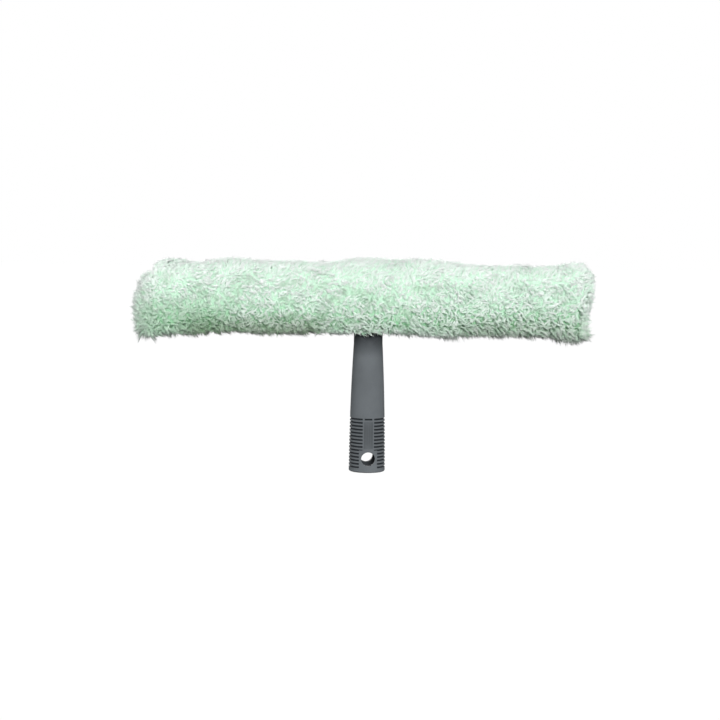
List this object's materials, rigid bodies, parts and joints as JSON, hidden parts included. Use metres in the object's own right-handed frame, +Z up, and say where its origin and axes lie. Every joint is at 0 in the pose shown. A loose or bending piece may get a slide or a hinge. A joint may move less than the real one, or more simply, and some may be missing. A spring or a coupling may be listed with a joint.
{
  "type": "window strip washer",
  "caption": "Hand strip washer for wetting window glass: a fleecy microfibre sleeve on a T-shaped bar with a tapered, grooved plastic handle that also takes a pole.",
  "frame": {"origin": "centre of the pole socket's mouth, at the handle's open end", "axes": "+X along the crossbar, to the right in the picture; +Z up the handle towards the sleeve; -Y out of the front, towards the camera"},
  "size_m": [0.3665, 0.0514, 0.1709],
  "materials": {
    "handle_plastic": "satin moulded",
    "bar_plastic": "satin moulded",
    "rivet_steel": "bright",
    "backing_cloth": "knitted",
    "binding_tape": "woven tape",
    "hook_tape": "hook side of a fastening tape",
    "loop_tape": "loop side of a fastening tape",
    "fleece_pile": "long tufted microfibre pile"
  },
  "bodies": {
    "t_bar": {"handle": "handle_plastic", "crossbar": "bar_plastic", "left_end_cap": "bar_plastic", "right_end_cap": "bar_plastic", "bar_rivets": "rivet_steel"},
    "sleeve": {"sleeve_cloth": "backing_cloth", "left_end_cloth": "backing_cloth", "right_end_cloth": "backing_cloth", "top_pile": "fleece_pile", "front_pile": "fleece_pile", "back_pile": "fleece_pile", "left_end_pile": "fleece_pile", "right_end_pile": "fleece_pile"},
    "front_lip": {"front_lip_cloth": "backing_cloth", "front_lip_pile": "fleece_pile", "front_neck_binding": "binding_tape", "left_hook_tape": "hook_tape", "right_hook_tape": "hook_tape"},
    "back_lip": {"back_lip_cloth": "backing_cloth", "back_lip_pile": "fleece_pile", "back_neck_binding": "binding_tape", "left_loop_tape": "loop_tape", "right_loop_tape": "loop_tape"}
  },
  "joints": [
    {"name": "sleeve_lift", "type": "slide", "parent": "t_bar", "child": "sleeve", "axis": [0, 0, 1], "range_m": [0, 0.06], "deforming": ["front_lip_cloth", "front_lip_pile", "front_neck_binding", "left_hook_tape", "right_hook_tape", "back_lip_cloth", "back_lip_pile", "back_neck_binding", "left_loop_tape", "right_loop_tape"]},
    {"name": "front_lip_fold", "type": "hinge", "parent": "sleeve", "child": "front_lip", "pos_m": [0, -0.011, 0.1182], "axis": [-1, 0, 0], "range_deg": [0, 95]},
    {"name": "back_lip_fold", "type": "hinge", "parent": "sleeve", "child": "back_lip", "pos_m": [0, 0.011, 0.121], "axis": [1, 0, 0], "range_deg": [0, 95]}
  ]
}
